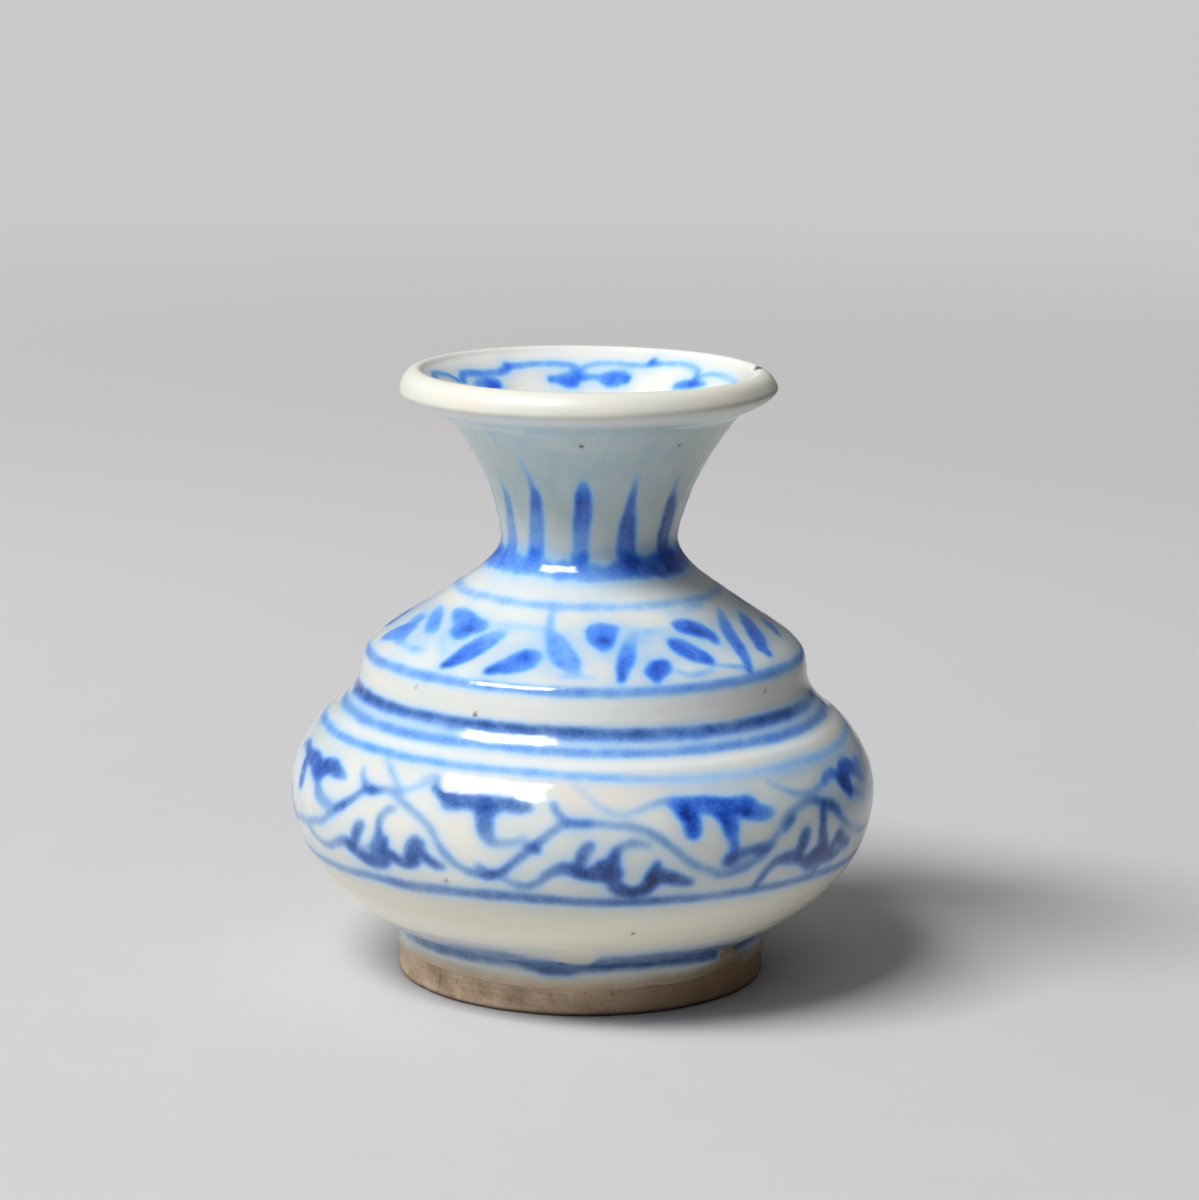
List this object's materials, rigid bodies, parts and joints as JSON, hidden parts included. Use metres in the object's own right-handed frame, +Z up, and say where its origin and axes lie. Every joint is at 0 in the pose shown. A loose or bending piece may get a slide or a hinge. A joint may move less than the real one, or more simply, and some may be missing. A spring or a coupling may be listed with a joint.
{
  "type": "vase",
  "caption": "Small footed vase with a low round belly, a stepped shoulder, a narrow waist and a wide trumpet mouth with a rolled lip.",
  "frame": {"origin": "middle of the foot ring's resting face", "axes": "+Z up along the vase's axis, out of the mouth; X and Y level, and +Y away from the picture's camera"},
  "size_m": [0.0674, 0.0674, 0.0703],
  "materials": {
    "bare_clay": "bare fired clay with a brown iron wash, matt",
    "clay_body": "fired pale clay under the glaze, matt",
    "slip": "fired slip in the seams, matt",
    "glaze_outside": "clear blue-grey glaze over cobalt brushwork, glossy",
    "glaze_inside": "clear white glaze with a cobalt border inside the mouth, glossy"
  },
  "bodies": {
    "root": {"foot_ring": "bare_clay", "lower_bowl": "clay_body", "upper_belly": "clay_body", "shoulder_step": "clay_body", "trumpet_neck": "clay_body", "foot_luting_slip": "slip", "belly_luting_slip": "slip", "shoulder_luting_slip": "slip", "neck_luting_slip": "slip", "outer_glaze": "glaze_outside", "inner_glaze": "glaze_inside"}
  },
  "joints": []
}
